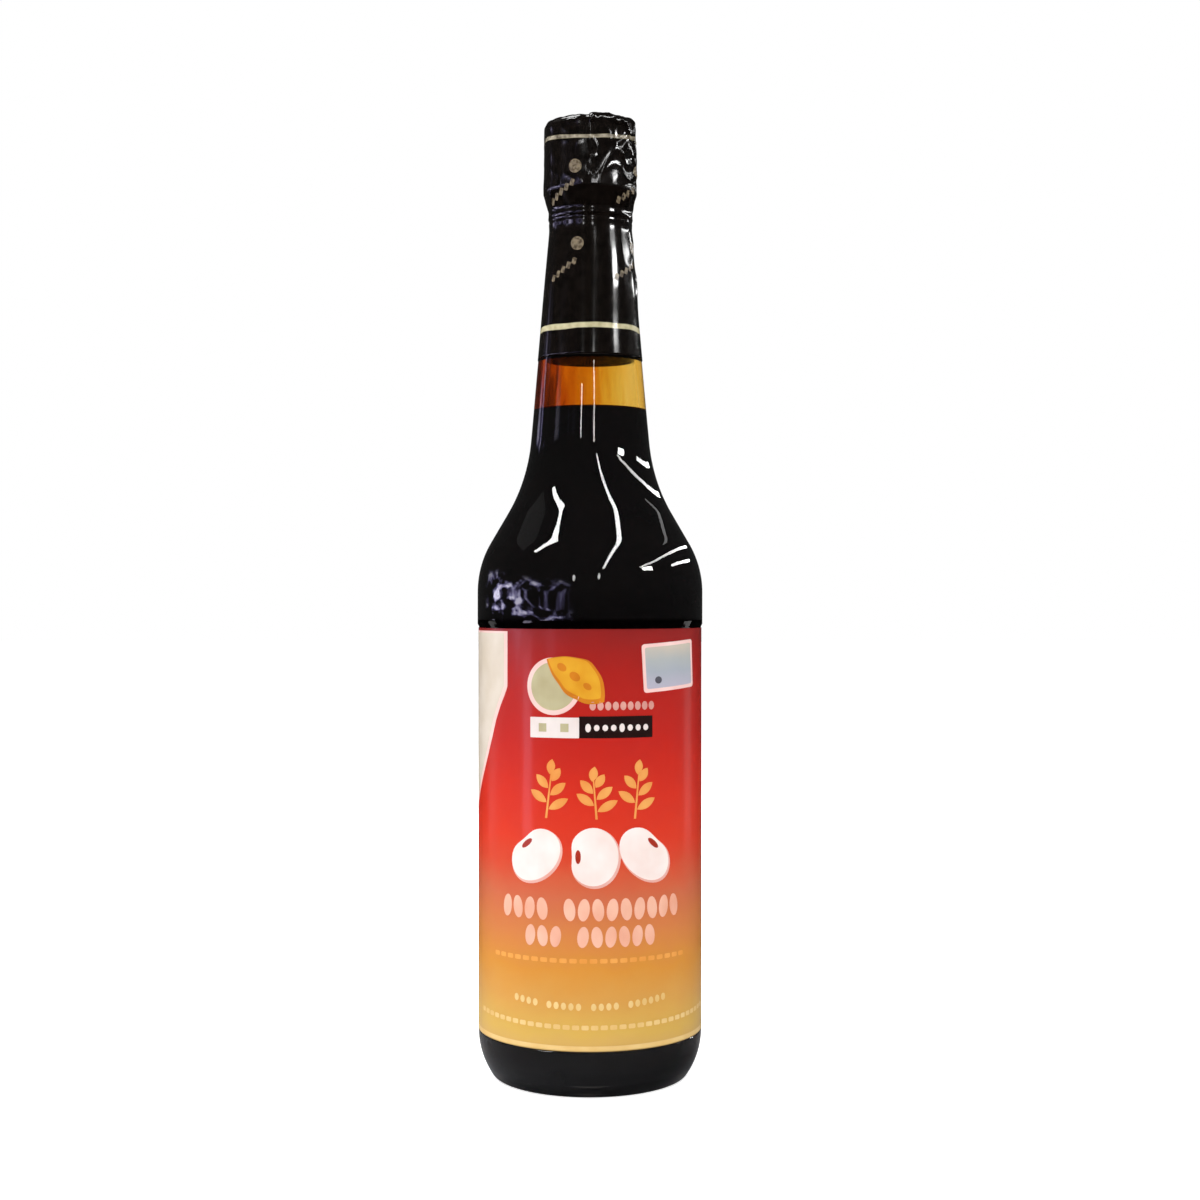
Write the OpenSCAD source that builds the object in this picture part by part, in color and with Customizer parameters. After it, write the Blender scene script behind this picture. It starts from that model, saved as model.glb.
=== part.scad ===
// Soy sauce bottle: a tall clear glass bottle with a long tapering neck, filled with dark
// sauce, shut by a screw cap under a shrunk film capsule, with a wraparound paper label
// and a small sticker. The origin is at the centre of the base, +Z is up, and the front
// of the label faces -Y. Lengths are in millimetres.

/* [Glass body] */
// Diameter of the body at the shoulder, its widest part
body_d = 72; // [60:0.5:90]
// Height at which the straight body starts to turn in to the shoulder
body_h = 154; // [126:1:186]
// Radius of the turn from the body into the shoulder's slope
shoulder_round = 31; // [24:1:38]
// Angle of the shoulder's slope from upright
shoulder_angle = 30; // [26:1:40]
// Radius of the hollow sweep from the shoulder up into the neck
neck_blend = 55; // [20:1:70]
// Thickness of the glass wall
wall = 2.3; // [1.6:0.1:3.2]

/* [Glass foot] */
// Height at which the heel starts to curve in under the body
heel_h = 14.6; // [10:0.2:18]
// Radius of the heel's curve
heel_round = 24; // [20:0.5:30]
// Radius of the small turn from the heel onto the foot ring
foot_round = 2; // [1:0.25:4]
// Width of the flat ring that the bottle stands on
foot_ring = 3.6; // [2:0.2:6]
// Height of the hollow pushed up under the base
pushup_h = 4; // [1:0.25:8]
// Thickness of the glass in the middle of the base
floor_t = 5; // [3:0.25:8]

/* [Neck and mouth] */
// Diameter of the neck at its top, just under the bead
neck_d = 25.3; // [20:0.1:31]
// Height of the top of the neck
neck_top = 272.5; // [226:0.5:328]
// Taper of the neck from upright, on each side
neck_taper = 5.1; // [3:0.1:8]
// How far the bead under the cap stands proud of the neck
bead_rise = 0.45; // [0.2:0.05:1.5]
// Height of the slope that leads from the neck out to the bead
bead_slope = 0.9; // [0.4:0.1:2]
// Height of the bead itself
bead_h = 2.2; // [1:0.1:4]
// How far the mouth's outside lies in from the neck's
mouth_setback = 0.35; // [0:0.05:1]
// Height of the mouth above the bead
mouth_h = 26.1; // [16:0.1:34]

/* [Sauce] */
// Depth of the sauce's surface below the top of the neck
fill_drop = 60.1; // [40:0.5:78]

/* [Screw cap] */
// Thickness of the cap's skirt at its widest, near its lower end
skirt_t = 2.35; // [1.6:0.05:3.5]
// How much narrower in radius the cap is at its top
cap_draft = 0.45; // [0:0.05:1]
// Clearance between the cap and the glass mouth inside it
cap_clearance = 0.1; // [0.05:0.05:0.4]
// Clearance between the cap's lower edge and the bead
cap_gap = 0.5; // [0.2:0.1:1.5]
// Height of the sloping band between the bead and the cap's widest part
cap_band_h = 5.9; // [3:0.1:9]
// Thickness of the cap's top
cap_top_t = 2.15; // [1.2:0.05:3]
// Radius of the cap's top edge
cap_edge = 2; // [0.5:0.25:4]

/* [Film capsule] */
// Thickness of the shrunk film
film_t = 0.15; // [0.05:0.05:0.4]
// Length of the film from the cap's top down the neck
capsule_h = 75.6; // [40:0.5:92]
// Width of the rim that the film folds in over the cap's top
film_lap = 4; // [2:0.5:9]

/* [Label panel] */
// Depth of the label panel below the shoulder
panel_depth = 0.45; // [0.3:0.05:1.2]
// Height of the slope from the label panel up to the shoulder
panel_slope = 0.8; // [0.4:0.1:2]
// Height of the straight band between that slope and the shoulder's turn
shoulder_land = 10.1; // [2:0.1:30]
// How far the heel stands proud of the label panel
heel_rise = 0.1; // [0.05:0.05:0.3]
// Height of the straight band between the heel's curve and the panel
heel_land = 0.2; // [0:0.1:20]

/* [Label] */
// Thickness of the label's paper
label_t = 0.15; // [0.05:0.05:0.15]
// Gap between the label's edges and the ends of its panel
label_gap = 0.4; // [0.2:0.1:2]
// Length of label that laps over its other end at the back
label_lap = 12; // [4:0.5:24]

/* [Sticker] */
// Width of the sticker around the bottle
sticker_w = 22.6; // [10:0.2:32]
// Height of the sticker
sticker_h = 14.8; // [8:0.2:24]
// Thickness of the sticker
sticker_t = 0.1; // [0.05:0.05:0.15]
// How far round to the right of the front the sticker's middle is
sticker_angle = 45; // [20:1:90]
// Drop of the sticker's middle below the label's upper edge
sticker_drop = 11.4; // [10:0.2:90]
// Slant of the sticker, its right end up
sticker_slant = 3.5; // [-10:0.5:10]

/* [Hidden] */
$fn = 96;

// Straight pieces in each turn of an outline
TURN_STEPS = 12;
// Share of the straight on each side that the neck's sweep may use up
BLEND_SHARE = 0.98;
// Extra size of a cutting shape past what it cuts
OVER = 1;
// Directions around the axis
FRONT = -90;
BACK = 90;

// Radii of the glass
body_r = body_d / 2;
panel_r = body_r - panel_depth;
heel_r = panel_r + heel_rise;
neck_r = neck_d / 2;
bead_r = neck_r + bead_rise;
mouth_r = neck_r - mouth_setback;
bore_r = neck_r - wall;

// Heights on the glass
panel_bottom = heel_h + heel_land + heel_rise;
panel_top = body_h - shoulder_land - panel_slope;
bead_bottom = neck_top + bead_slope;
bead_top = bead_bottom + bead_h;
mouth_top = bead_top + mouth_h;
fill_z = neck_top - fill_drop;

// Heights and radii of the cap, and the end of the film on it
cap_bottom = bead_top + cap_gap;
cap_widest_z = bead_top + cap_band_h;
cap_top = mouth_top + cap_top_t;
cap_bore_r = mouth_r + cap_clearance;
cap_r = cap_bore_r + skirt_t;
cap_top_r = cap_r - cap_draft;
capsule_bottom = cap_top - capsule_h;

// Label edges
label_bottom = panel_bottom + label_gap;
label_top = panel_top - label_gap;

// Heel: the curve's centre, and the centre of a small turn of radius r that it runs into
heel_c = [heel_r - heel_round, heel_h];
function foot_c(inset, r) =
    let (reach = heel_round - inset - r)
    let (drop = heel_h - inset - r)
    heel_c + [sqrt(reach * reach - drop * drop), -drop];

// The hollow under the base is a cap of a sphere, inside the foot ring
pushup_r = foot_c(0, foot_round).x - foot_ring;
dome_r = (pushup_r * pushup_r + pushup_h * pushup_h) / (2 * pushup_h);
dome_z = pushup_h - dome_r;

// Shoulder: the round turn's centre, and the start of the slope
shoulder_c = [body_r - shoulder_round, body_h];
slope_start = shoulder_c + shoulder_round * [cos(shoulder_angle), sin(shoulder_angle)];
// Corner where the slope and the neck's side would meet
slope_rate = tan(shoulder_angle);
neck_rate = tan(neck_taper);
corner_z = (slope_start.x - neck_r + slope_start.y * slope_rate - neck_top * neck_rate)
    / (slope_rate - neck_rate);
corner = [neck_r + (neck_top - corner_z) * neck_rate, corner_z];
// The sweep in that corner is no longer than the straights on its two sides
half_bend = (shoulder_angle - neck_taper) / 2;
slope_len = (corner.y - slope_start.y) / cos(shoulder_angle);
neck_len = (neck_top - corner.y) / cos(neck_taper);
blend_r = min(neck_blend, BLEND_SHARE * min(slope_len, neck_len) / tan(half_bend));
up_slope = [-sin(shoulder_angle), cos(shoulder_angle)];
off_slope = [cos(shoulder_angle), sin(shoulder_angle)];
blend_c = corner - blend_r * tan(half_bend) * up_slope + blend_r * off_slope;

// Points along a turn of radius r about centre c, from angle a0 to angle a1
function turn(c, r, a0, a1) =
    [for (i = [0:TURN_STEPS]) let (a = a0 + (a1 - a0) * i / TURN_STEPS) c + r * [cos(a), sin(a)]];

// Radius of the neck's upper edge, moved inwards by inset along with its tapering side
function neck_edge(inset) = neck_r - inset / cos(neck_taper);

// Half outline of the glass from base to neck top, moved inwards by inset
function outline(inset) =
    let (foot_r = max(foot_round - inset, 0))
    let (foot = foot_c(inset, foot_r))
    let (foot_angle = atan2(foot.y - heel_c.y, foot.x - heel_c.x))
    concat(
        [[0, inset]],
        foot_r > 0 ? turn(foot, foot_r, -90, foot_angle) : [],
        turn(heel_c, heel_round - inset, foot_angle, 0),
        [
            [heel_r - inset, panel_bottom - heel_rise],
            [panel_r - inset, panel_bottom],
            [panel_r - inset, panel_top],
            [body_r - inset, panel_top + panel_slope]
        ],
        turn(shoulder_c, shoulder_round - inset, 0, shoulder_angle),
        turn(blend_c, blend_r + inset, 180 + shoulder_angle, 180 + neck_taper),
        [[neck_edge(inset), neck_top], [0, neck_top]]
    );

// Half outline of the bead and the cap above the neck, moved outwards by skin
function head_outline(skin) =
    concat(
        [
            [0, neck_top],
            [neck_edge(-skin), neck_top],
            [bead_r + skin, bead_bottom],
            [bead_r + skin, bead_top],
            [cap_r + skin, cap_widest_z]
        ],
        turn([cap_top_r - cap_edge, cap_top - cap_edge], cap_edge + skin, 0, 90),
        [[0, cap_top + skin]]
    );

// Half section of the shut bottle as one shape, with a skin of the given thickness
module package(skin) {
    polygon(outline(-skin));
    polygon(head_outline(skin));
}

// Half section of everything between two heights
module slice(z0, z1) {
    translate([0, z0]) square([body_r + OVER, z1 - z0]);
}

// Half section of the space inside the glass
module cavity() {
    difference() {
        polygon(outline(wall));
        translate([0, dome_z]) circle(r = dome_r + floor_t);
    }
    translate([0, neck_top - OVER]) square([bore_r, mouth_top - neck_top + 2 * OVER]);
}

// Clear glass, blown in a mould: foot ring, panel for the label, shoulder, neck and mouth
module bottle() {
    color("gainsboro", 0.4) rotate_extrude() difference() {
        union() {
            intersection() {
                package(0);
                slice(0, bead_top);
            }
            translate([0, neck_top]) square([mouth_r, mouth_top - neck_top]);
        }
        cavity();
        translate([0, dome_z]) circle(r = dome_r);
    }
}

// Dark sauce, filling the glass up to its surface in the neck
module sauce() {
    color("#1e0e06") rotate_extrude() intersection() {
        cavity();
        slice(0, fill_z);
    }
}

// Black plastic screw cap, seated on the rim of the mouth
module cap() {
    color("#1a1a1a") rotate_extrude() difference() {
        intersection() {
            package(0);
            slice(cap_bottom, cap_top);
        }
        square([cap_bore_r, mouth_top]);
    }
}

// Black film shrunk over the cap and down the neck, folded in over the cap's top
module capsule() {
    color("#141210") rotate_extrude() difference() {
        intersection() {
            package(film_t);
            slice(capsule_bottom, cap_top + film_t);
        }
        package(0);
        square([cap_top_r - film_lap, cap_top + film_t + OVER]);
    }
}

// A layer of paper round the bottle at radius r, over part of a turn
module wrap(r, thickness, start, angle) {
    rotate_extrude(start = start, angle = angle)
        translate([r, label_bottom]) square([thickness, label_top - label_bottom]);
}

// Paper label: once round the panel, with one end lapped over the other at the back
module label() {
    lap_angle = label_lap / panel_r * 180 / PI;
    color("#b81c16") union() {
        wrap(panel_r, label_t, 0, 360);
        wrap(panel_r + label_t, label_t, BACK - lap_angle / 2, lap_angle);
    }
}

// Small sticker, pressed onto the label at a slant, upper right
module sticker() {
    inner_r = panel_r + label_t;
    half_angle = sticker_w / inner_r * 90 / PI;
    chord = 2 * inner_r * sin(half_angle);
    mid_z = label_top - sticker_drop;
    color("#dcd6dc") intersection() {
        wrap(inner_r, sticker_t, 0, 360);
        rotate(FRONT + sticker_angle)
            translate([inner_r, 0, mid_z])
                rotate([sticker_slant, 0, 0])
                    cube([inner_r, chord, sticker_h], center = true);
    }
}

bottle();
sauce();
cap();
capsule();
label();
sticker();
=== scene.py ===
import math

import bmesh
import bpy
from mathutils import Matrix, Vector, noise


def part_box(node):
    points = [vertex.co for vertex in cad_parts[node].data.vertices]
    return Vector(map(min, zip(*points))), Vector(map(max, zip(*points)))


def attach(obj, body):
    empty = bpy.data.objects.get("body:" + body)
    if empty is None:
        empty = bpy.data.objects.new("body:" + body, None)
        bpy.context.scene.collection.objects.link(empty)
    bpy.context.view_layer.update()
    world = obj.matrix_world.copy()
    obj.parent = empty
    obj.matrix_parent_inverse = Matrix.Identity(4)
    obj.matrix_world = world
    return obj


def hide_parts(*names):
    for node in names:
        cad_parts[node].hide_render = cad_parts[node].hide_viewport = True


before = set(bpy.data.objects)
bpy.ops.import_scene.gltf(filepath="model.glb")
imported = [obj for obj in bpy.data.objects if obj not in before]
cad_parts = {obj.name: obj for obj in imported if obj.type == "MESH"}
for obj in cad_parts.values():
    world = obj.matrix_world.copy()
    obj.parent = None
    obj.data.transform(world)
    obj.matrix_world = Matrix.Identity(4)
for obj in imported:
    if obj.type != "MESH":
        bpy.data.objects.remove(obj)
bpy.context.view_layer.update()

# ------------------------------------------------------------------ Glass bottle
# One piece of clear soda-lime glass, blown in a two-part mould: a foot ring round a
# pushed-up base, a shallow panel for the label, a sloping shoulder and a long tapering
# neck with a bead under its mouth.
# Lengths are in millimetres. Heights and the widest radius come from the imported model.
MM = 0.001

glass_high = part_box("bottle")[1] / MM
label_low, label_high = (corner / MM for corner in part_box("label"))
body_r = glass_high.x
wall = 2.3
panel_r = body_r - 0.45
heel_r = panel_r + 0.1
panel_bottom = label_low.z - 0.4
panel_top = label_high.z + 0.4
heel_h = panel_bottom - 0.3
heel_round = 24
foot_round = 2
foot_ring = 3.6
pushup_h = 4
floor_t = 5
body_h = panel_top + 10.9
shoulder_round = 31
shoulder_angle = 30
mouth_top = glass_high.z
bead_top = mouth_top - 26.1
bead_bottom = bead_top - 2.2
neck_top = bead_bottom - 0.9
neck_r = 12.65
neck_taper = 5.1
neck_blend = 55
bead_r = neck_r + 0.45
mouth_r = neck_r - 0.35


def turn(centre, radius, start, end, steps=16):
    """Points along a round stretch of an outline, between two angles in degrees."""
    points = []
    for i in range(steps + 1):
        angle = math.radians(start + (end - start) * i / steps)
        points.append((centre[0] + radius * math.cos(angle), centre[1] + radius * math.sin(angle)))
    return points


def smooth(value, start, end):
    """0 before start, 1 after end, and an even rise between them."""
    share = min(max((value - start) / (end - start), 0), 1)
    return share * share * (3 - 2 * share)


def fine(outline, spacing):
    """The outline with points added, so that no step of it is longer than spacing."""
    points = [outline[0]]
    for (r0, z0), (r1, z1) in zip(outline, outline[1:]):
        count = max(1, math.ceil(math.hypot(r1 - r0, z1 - z0) / spacing))
        points += [(r0 + (r1 - r0) * i / count, z0 + (z1 - z0) * i / count) for i in range(1, count + 1)]
    return points


# Centres of the heel's curve, of the small turn onto the foot ring, and of the two
# spheres that the base is pushed up to, outside and inside
heel_c = (heel_r - heel_round, heel_h)
foot_reach = heel_round - foot_round
foot_drop = heel_h - foot_round
foot_c = (heel_c[0] + math.sqrt(foot_reach ** 2 - foot_drop ** 2), foot_round)
foot_angle = math.degrees(math.atan2(foot_c[1] - heel_c[1], foot_c[0] - heel_c[0]))
pushup_r = foot_c[0] - foot_ring
dome_r = (pushup_r ** 2 + pushup_h ** 2) / (2 * pushup_h)
dome_z = pushup_h - dome_r

# Shoulder turn, and the hollow sweep that joins its slope to the neck
shoulder_c = (body_r - shoulder_round, body_h)
slope_rate = math.tan(math.radians(shoulder_angle))
neck_rate = math.tan(math.radians(neck_taper))
slope_r = shoulder_c[0] + shoulder_round * math.cos(math.radians(shoulder_angle))
slope_z = shoulder_c[1] + shoulder_round * math.sin(math.radians(shoulder_angle))
corner_z = (slope_r - neck_r + slope_z * slope_rate - neck_top * neck_rate) / (slope_rate - neck_rate)
corner_r = neck_r + (neck_top - corner_z) * neck_rate
blend_run = neck_blend * math.tan(math.radians((shoulder_angle - neck_taper) / 2))
sin_slope = math.sin(math.radians(shoulder_angle))
cos_slope = math.cos(math.radians(shoulder_angle))
blend_c = (
    corner_r + blend_run * sin_slope + neck_blend * cos_slope,
    corner_z - blend_run * cos_slope + neck_blend * sin_slope,
)


def neck_side(inset, height):
    """Radius of the straight part of the neck at a height, moved inwards by inset."""
    return neck_r + (neck_top - height) * neck_rate - inset / math.cos(math.radians(neck_taper))


def side(inset):
    """Half outline from above the heel to the neck's top, moved inwards by inset."""
    return (
        [(heel_r - inset, heel_h + 0.2)]
        + [(panel_r - inset, panel_bottom), (panel_r - inset, panel_top)]
        + [(body_r - inset, panel_top + 0.8)]
        + turn(shoulder_c, shoulder_round - inset, 0, shoulder_angle)
        + turn(blend_c, neck_blend + inset, 180 + shoulder_angle, 180 + neck_taper)
        + [(neck_side(inset, neck_top), neck_top)]
    )


def dome(radius, sphere):
    """Height of the pushed-up base at a radius from the axis, on a sphere of this size."""
    return dome_z + math.sqrt(sphere ** 2 - radius ** 2)


def inner_base(inset):
    """Half outline of the space inside the glass, from the axis up to the heel."""
    sphere = dome_r + floor_t + wall - inset
    heel = [(r, z) for r, z in turn(heel_c, heel_round - inset, -90, 0, 60) if z > dome(r, sphere)]
    reach = heel[0][0]
    floor = [(reach * i / 12, dome(reach * i / 12, sphere)) for i in range(12)]
    return floor + heel


def lathe(name, outline, steps, swell=None, loop=False):
    """Turns a half outline of (radius, height) points into a piece round the axis.

    swell gives how far out of the surface a point is moved, from its angle, its number
    along the outline, its radius and its height. loop joins the outline's two ends.
    """
    bm = bmesh.new()
    count = len(outline)
    rows = []
    for i, (radius, height) in enumerate(outline):
        before = outline[i - 1] if i or loop else outline[0]
        after = outline[(i + 1) % count] if i + 1 < count or loop else outline[-1]
        length = math.hypot(after[0] - before[0], after[1] - before[1])
        out = ((after[1] - before[1]) / length, (before[0] - after[0]) / length)
        if radius < 1e-6:
            rows.append([bm.verts.new((0, 0, height * MM))] * steps)
            continue
        row = []
        for j in range(steps):
            angle = math.tau * j / steps
            move = swell(angle, i, radius, height) if swell else 0
            r = (radius + move * out[0]) * MM
            z = (height + move * out[1]) * MM
            row.append(bm.verts.new((r * math.sin(angle), -r * math.cos(angle), z)))
        rows.append(row)
    pairs = list(zip(rows, rows[1:])) + ([(rows[-1], rows[0])] if loop else [])
    for low, high in pairs:
        for j in range(steps):
            k = (j + 1) % steps
            bm.faces.new(dict.fromkeys((low[j], low[k], high[k], high[j])))
    mesh = bpy.data.meshes.new(name)
    bm.to_mesh(mesh)
    bm.free()
    mesh.shade_smooth()
    mesh.set_sharp_from_angle(angle=math.radians(35))
    piece = bpy.data.objects.new(name, mesh)
    bpy.context.scene.collection.objects.link(piece)
    return piece


def linear(hex_colour):
    """An sRGB hex colour as the linear colour that shaders work with."""
    parts = [int(hex_colour[i:i + 2], 16) / 255 for i in (1, 3, 5)]
    return tuple(p / 12.92 if p <= 0.04045 else ((p + 0.055) / 1.055) ** 2.4 for p in parts) + (1.0,)


def add(material, kind, inputs={}, **settings):
    """Adds a node. An input is a plain value, an sRGB hex colour or another node's output."""
    tree = material.node_tree
    node = tree.nodes.new("ShaderNode" + kind)
    stops = settings.pop("stops", None)
    for name, value in settings.items():
        setattr(node, name, value)
    if stops:
        ramp = node.color_ramp.elements
        while len(ramp) < len(stops):
            ramp.new(1)
        for element, (place, colour) in zip(ramp, stops):
            element.position = place
            element.color = linear(colour) if isinstance(colour, str) else (colour, colour, colour, 1)
    for name, value in inputs.items():
        if isinstance(value, bpy.types.NodeSocket):
            tree.links.new(value, node.inputs[name])
        else:
            node.inputs[name].default_value = linear(value) if isinstance(value, str) else value
    return node


def blank(name):
    """A new material with an empty tree."""
    material = bpy.data.materials.new(name)
    material.use_nodes = True
    material.node_tree.nodes.clear()
    return material


# Clear soda-lime glass, fire-polished: a faint green cast, a slow waviness that bends
# its reflections, and painted shade that makes the thick base as dark as the sauce over it
clear_glass = blank("blown_soda_lime_glass")
place = add(clear_glass, "TexCoord").outputs["Object"]
cords = add(clear_glass, "Mapping", {"Vector": place, "Scale": (1, 1, 0.25)}).outputs[0]
waves = add(clear_glass, "TexNoise", {"Vector": cords, "Scale": 1 / (11 * MM), "Detail": 1.0}).outputs[0]
relief = add(clear_glass, "Bump", {"Height": waves, "Strength": 0.25, "Distance": 0.12 * MM}).outputs[0]
tint_and_heel_shade = add(clear_glass, "ValToRGB", {"Fac": waves}, stops=[(0.3, "#F4FAF7"), (0.7, "#FFFFFF")]).outputs[0]
# Painted shade: the glass is dark grey-brown below 7 mm and clear above 14 mm, so the heel and base look
# dark
up = add(clear_glass, "SeparateXYZ", {0: place}).outputs["Z"]
thin = add(clear_glass, "MapRange", {"Value": up, "From Min": 7 * MM, "From Max": 14 * MM}).outputs[0]
tint_and_heel_shade = add(clear_glass, "Mix", {"Factor": thin, 6: "#33302E", 7: tint_and_heel_shade}, data_type="RGBA").outputs[2]
glass = add(
    clear_glass, "BsdfPrincipled",
    {"Base Color": tint_and_heel_shade, "Roughness": 0.0, "IOR": 1.5, "Transmission Weight": 1.0, "Normal": relief},
)
add(clear_glass, "OutputMaterial", {"Surface": glass.outputs[0]})


def glass_wave(angle, radius, height):
    """How far the blown surface strays from a true round, in the shoulder and neck."""
    spot = Vector((radius * math.sin(angle), radius * math.cos(angle), height * 0.7)) / 19
    size = 0.17 * smooth(height, panel_top + 1, body_h + 8)
    size *= 1 - 0.85 * smooth(height, body_h + 45, neck_top - 45)
    return size * noise.noise(spot)


outside = (
    [(0, pushup_h)]
    + [(pushup_r * i / 8, dome(pushup_r * i / 8, dome_r)) for i in range(1, 9)]
    + turn(foot_c, foot_round, -90, foot_angle, 10)
    + turn(heel_c, heel_round, foot_angle, 0, 24)[1:]
    + side(0)
    + [(bead_r, bead_bottom), (bead_r, bead_top), (mouth_r, bead_top), (mouth_r, mouth_top)]
)
outside = fine(outside, 1.6)
inside = fine(inner_base(wall) + side(wall) + [(neck_r - wall, mouth_top)], 2.5)
bottle = lathe(
    "bottle_glass",
    outside + inside[::-1],
    160,
    lambda angle, i, radius, height: glass_wave(angle, radius, height) if i < len(outside) else 0,
)
bottle.data.materials.append(clear_glass)
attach(bottle, "root")
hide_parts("bottle")

# ------------------------------------------------------------------ Sauce
# Dark soy sauce, which lets light through only where it is thinner than a millimetre.
# It fills the glass up to a level in the neck, and creeps up the wall at its edge.
sauce_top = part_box("sauce")[1].z / MM
creep_h = 0.9
creep_r = 0.7
into_wall = 0.08

dark_sauce = blank("dark_soy_sauce")
place = add(dark_sauce, "TexCoord").outputs["Object"]
height = add(dark_sauce, "SeparateXYZ", {0: place}).outputs["Z"]
edge = add(
    dark_sauce, "MapRange",
    {"Value": height, "From Min": (sauce_top - 1.0) * MM, "From Max": (sauce_top + 0.1) * MM},
).outputs[0]
clouds = add(dark_sauce, "TexNoise", {"Vector": place, "Scale": 1 / (14 * MM), "Detail": 2.0}).outputs[0]
body = add(dark_sauce, "ValToRGB", {"Fac": clouds}, stops=[(0.35, "#050203"), (0.7, "#0B0505")]).outputs[0]
rim = add(
    dark_sauce, "ValToRGB", {"Fac": edge},
    stops=[(0.0, "#080304"), (0.6, "#2A0B04"), (1.0, "#6B2A08")],
).outputs[0]
thin = add(dark_sauce, "Mix", {"Factor": edge, 6: body, 7: rim}, data_type="RGBA").outputs[2]
shine = add(dark_sauce, "MapRange", {"Value": clouds, "To Min": 0.08, "To Max": 0.16}).outputs[0]
liquid = add(
    dark_sauce, "BsdfPrincipled",
    {"Base Color": thin, "Roughness": shine, "IOR": 1.38, "Specular IOR Level": 0.06},
)
add(dark_sauce, "OutputMaterial", {"Surface": liquid.outputs[0]})

level = sauce_top - creep_h
inside_wall = [p for p in fine(side(wall - into_wall), 2.5) if p[1] < sauce_top - 0.5]
brim_r = neck_side(wall - into_wall, sauce_top)
creep = [(brim_r - d, level + creep_h * math.exp(-d / creep_r)) for d in (0, 0.2, 0.45, 0.8, 1.3, 2, 3)]
sauce = lathe(
    "sauce_fill",
    inner_base(wall - into_wall) + inside_wall + creep + [(brim_r / 2, level), (0, level)],
    128,
)
sauce.data.materials.append(dark_sauce)
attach(sauce, "root")
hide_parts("sauce")

# ------------------------------------------------------------------ Sauce clinging to the neck
# The bottle has been tipped and set down again, and a thin coat of sauce still runs
# down the inside of the neck above the level: brown where it is thick, amber where thin.
coat_t = 0.1
coat_in_wall = 0.14
coat_top = sauce_top + 26

clinging = blank("clinging_sauce_film")
place = add(clinging, "TexCoord").outputs["Object"]
across = add(clinging, "SeparateXYZ", {0: place}).outputs["X"]
runs_place = add(clinging, "Mapping", {"Vector": place, "Scale": (1, 1, 0.12)}).outputs[0]
runs = add(clinging, "TexNoise", {"Vector": runs_place, "Scale": 1 / (2.6 * MM), "Detail": 2.0}).outputs[0]
share = add(clinging, "MapRange", {"Value": across, "From Min": -13 * MM, "From Max": 13 * MM}).outputs[0]
streak = add(clinging, "MapRange", {"Value": runs, "To Min": -0.3, "To Max": 0.3}).outputs[0]
depth = add(clinging, "Math", {0: share, 1: streak}, operation="ADD", use_clamp=True).outputs[0]
amber = add(
    clinging, "ValToRGB", {"Fac": depth},
    stops=[
        (0.0, "#C09474"), (0.1, "#E6B472"), (0.24, "#EEC678"), (0.5, "#F1D086"),
        (0.66, "#F4DC9C"), (0.82, "#F8E7B4"), (1.0, "#F9EBC2"),
    ],
).outputs[0]
through = add(clinging, "BsdfTransparent", {"Color": amber}).outputs[0]
add(clinging, "OutputMaterial", {"Surface": through})

coat_low = sauce_top - 0.6
coat_out = [(neck_side(wall - coat_in_wall, z), z) for z in (coat_low, coat_top)]
coat_in = [(neck_side(wall - coat_in_wall + coat_t, z), z) for z in (coat_top, coat_low)]
coat = lathe("sauce_on_neck", coat_out + coat_in, 128, loop=True)
coat.data.materials.append(clinging)
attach(coat, "root")

# ------------------------------------------------------------------ Screw cap
# A moulded polypropylene cap, screwed down on the mouth. Only the middle of its top
# shows, inside the rim of the film.
moulded = blank("moulded_black_polypropylene")
place = add(moulded, "TexCoord").outputs["Object"]
grit = add(moulded, "TexNoise", {"Vector": place, "Scale": 1 / (0.5 * MM), "Detail": 3.0}).outputs[0]
relief = add(moulded, "Bump", {"Height": grit, "Strength": 0.35, "Distance": 0.05 * MM}).outputs[0]
colour = add(moulded, "ValToRGB", {"Fac": grit}, stops=[(0.3, "#101011"), (0.7, "#1B1B1C")]).outputs[0]
gloss = add(moulded, "MapRange", {"Value": grit, "To Min": 0.32, "To Max": 0.48}).outputs[0]
plastic = add(
    moulded, "BsdfPrincipled",
    {"Base Color": colour, "Roughness": gloss, "IOR": 1.49, "Normal": relief},
)
add(moulded, "OutputMaterial", {"Surface": plastic.outputs[0]})
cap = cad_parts["cap"]
cap.data.materials.clear()
cap.data.materials.append(moulded)

# ------------------------------------------------------------------ Film capsule
# A printed PVC sleeve, shrunk by heat over the cap and the top of the neck. It is
# tight on the neck, and gathers in creases on the cap, where it had most to shrink.
film_low, film_high = (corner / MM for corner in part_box("capsule"))
cap_low, cap_high = (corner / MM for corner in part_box("cap"))
film_t = 0.15
cap_r = cap_high.x
cap_top_r = cap_r - 0.45
cap_edge = 2
cap_widest = cap_low.z + 5.4
rim_r = cap_top_r - 4

film_side = (
    [(neck_side(-film_t, film_low.z), film_low.z), (neck_side(-film_t, neck_top), neck_top)]
    + [(bead_r + film_t, bead_bottom), (bead_r + film_t, bead_top), (cap_r + film_t, cap_widest)]
    + turn((cap_top_r - cap_edge, cap_high.z - cap_edge), cap_edge + film_t, 0, 90, 8)
    + [(rim_r, film_high.z)]
)
film_line = fine(film_side, 0.75)


def crease(spot, sharpness):
    """A crumpled field from 0 to 1, with narrow ridges."""
    return max(0.0, 1 - abs(noise.noise(spot)) * 2.4) ** sharpness


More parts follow.
